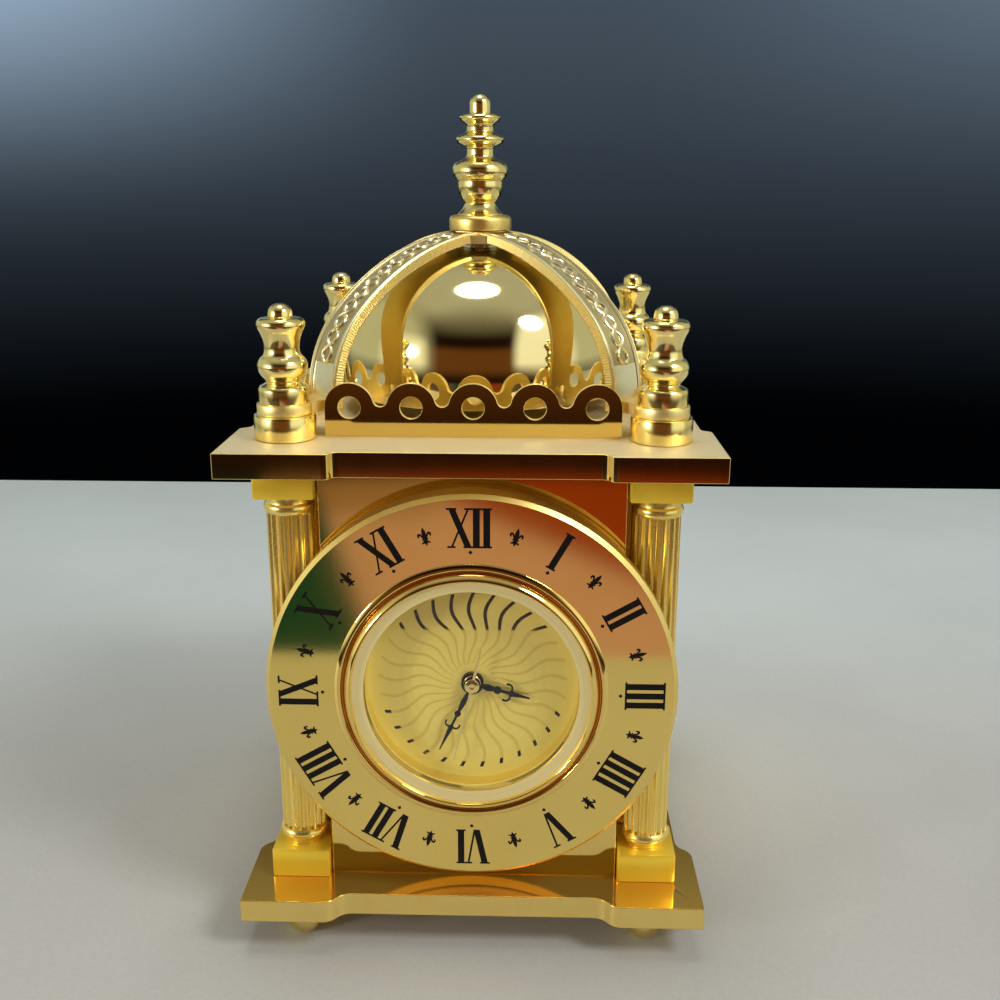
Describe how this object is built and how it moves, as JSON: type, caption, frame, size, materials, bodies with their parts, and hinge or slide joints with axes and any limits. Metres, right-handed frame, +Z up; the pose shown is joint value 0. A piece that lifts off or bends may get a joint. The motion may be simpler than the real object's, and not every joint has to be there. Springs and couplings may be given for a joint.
{
  "type": "lantern clock",
  "caption": "Miniature gold lantern clock with fluted posts, a bell under crossed straps, pierced frets, a Roman chapter ring and a pull-out quartz dial insert.",
  "frame": {"origin": "on the table under the middle of the base plate", "axes": "+Z up, the dial faces -Y, +X to the right seen from the front"},
  "size_m": [0.0612, 0.0636, 0.111],
  "materials": {
    "polished_gold": "gold plate, mirror polished",
    "satin_gold": "gold plate over a fine satin surface",
    "antique_gold": "pale antique gold on the relief, satin gold on the edges",
    "champagne_dial": "polished champagne gold with etched wavy rays",
    "black_enamel": "black enamel, slightly glossy",
    "clear_crystal": "clear mineral glass",
    "black_rubber": "matt black",
    "cup_steel": "spun steel",
    "steel": "plain bright steel",
    "dark_plastic": "moulded black",
    "green_board": "coated board",
    "copper_wire": "varnished copper winding",
    "train_brass": "plain brass"
  },
  "bodies": {
    "clock": {"base_plate": "satin_gold", "feet": "satin_gold", "column_front_left": "satin_gold", "column_front_right": "satin_gold", "column_rear_left": "satin_gold", "column_rear_right": "satin_gold", "tie_rods": "steel", "case_shell": "polished_gold", "front_plate": "polished_gold", "ring_spacer": "polished_gold", "chapter_ring": "polished_gold", "chapter_numerals": "black_enamel", "half_hour_marks": "black_enamel", "top_plate": "satin_gold", "finial_drums": "satin_gold", "bell_frame": "antique_gold", "corner_finial_front_left": "polished_gold", "corner_finial_front_right": "polished_gold", "corner_finial_rear_left": "polished_gold", "corner_finial_rear_right": "polished_gold", "fret_front": "polished_gold", "fret_rear": "polished_gold", "fret_left": "polished_gold", "fret_right": "polished_gold", "bell": "polished_gold", "bell_washer": "steel", "bell_stud": "steel", "bell_nut": "steel", "finial_collar": "polished_gold", "top_finial": "polished_gold"},
    "insert": {"insert_cup": "cup_steel", "friction_band": "black_rubber", "bezel": "polished_gold", "crystal": "clear_crystal", "crystal_gasket": "black_rubber", "sight_ring": "polished_gold", "dial": "champagne_dial", "main_plate": "dark_plastic", "train_bridge": "steel", "movement_screws": "steel", "circuit_board": "green_board", "quartz_can": "steel", "coil": "copper_wire", "stator": "steel", "button_cell": "steel", "cell_contact": "train_brass"},
    "minute": {"minute_hand": "black_enamel", "centre_wheel": "train_brass"},
    "hour": {"hour_hand": "black_enamel", "hour_wheel": "train_brass"},
    "seconds": {"seconds_hand": "polished_gold", "seconds_wheel": "train_brass"},
    "minute_wheel": {"minute_wheel": "train_brass"},
    "third_wheel": {"third_wheel": "train_brass"},
    "intermediate_wheel": {"intermediate_wheel": "train_brass"},
    "rotor": {"rotor": "steel"},
    "set_knob": {"set_knob": "dark_plastic"},
    "battery_hatch": {"battery_hatch": "dark_plastic"}
  },
  "joints": [
    {"name": "insert_slide", "type": "slide", "parent": "clock", "child": "insert", "axis": [0, -1, 0], "range_m": [0, 0.017]},
    {"name": "minute_turn", "type": "hinge", "parent": "insert", "child": "minute", "pos_m": [0, -0.0205, 0.0372], "axis": [0, 1, 0], "continuous": true},
    {"name": "hour_turn", "type": "hinge", "parent": "insert", "child": "hour", "pos_m": [0, -0.0205, 0.0372], "axis": [0, 1, 0], "continuous": true},
    {"name": "seconds_turn", "type": "hinge", "parent": "insert", "child": "seconds", "pos_m": [0, -0.0205, 0.0372], "axis": [0, 1, 0], "continuous": true},
    {"name": "minute_wheel_turn", "type": "hinge", "parent": "insert", "child": "minute_wheel", "pos_m": [-0.00564, -0.0205, 0.03515], "axis": [0, 1, 0], "continuous": true},
    {"name": "third_wheel_turn", "type": "hinge", "parent": "insert", "child": "third_wheel", "pos_m": [-0.0053, -0.0205, 0.04026], "axis": [0, 1, 0], "continuous": true},
    {"name": "intermediate_wheel_turn", "type": "hinge", "parent": "insert", "child": "intermediate_wheel", "pos_m": [0.00586, -0.0205, 0.03933], "axis": [0, 1, 0], "continuous": true},
    {"name": "rotor_turn", "type": "hinge", "parent": "insert", "child": "rotor", "pos_m": [0.0074, -0.0205, 0.03512], "axis": [0, 1, 0], "continuous": true},
    {"name": "set_knob_turn", "type": "hinge", "parent": "insert", "child": "set_knob", "pos_m": [-0.01143, -0.0205, 0.0367], "axis": [0, 1, 0], "continuous": true},
    {"name": "hatch_turn", "type": "hinge", "parent": "insert", "child": "battery_hatch", "pos_m": [0.00254, -0.0205, 0.04667], "axis": [0, 1, 0], "range_deg": [0, 50]}
  ],
  "couplings": [
    {"joint": "hour_turn", "follows": "minute_turn", "ratio": 0.083333},
    {"joint": "minute_wheel_turn", "follows": "minute_turn", "ratio": -0.33333},
    {"joint": "set_knob_turn", "follows": "minute_turn", "ratio": 1},
    {"joint": "third_wheel_turn", "follows": "minute_turn", "ratio": -8},
    {"joint": "seconds_turn", "follows": "minute_turn", "ratio": 60},
    {"joint": "intermediate_wheel_turn", "follows": "minute_turn", "ratio": -300},
    {"joint": "rotor_turn", "follows": "minute_turn", "ratio": 1800}
  ]
}
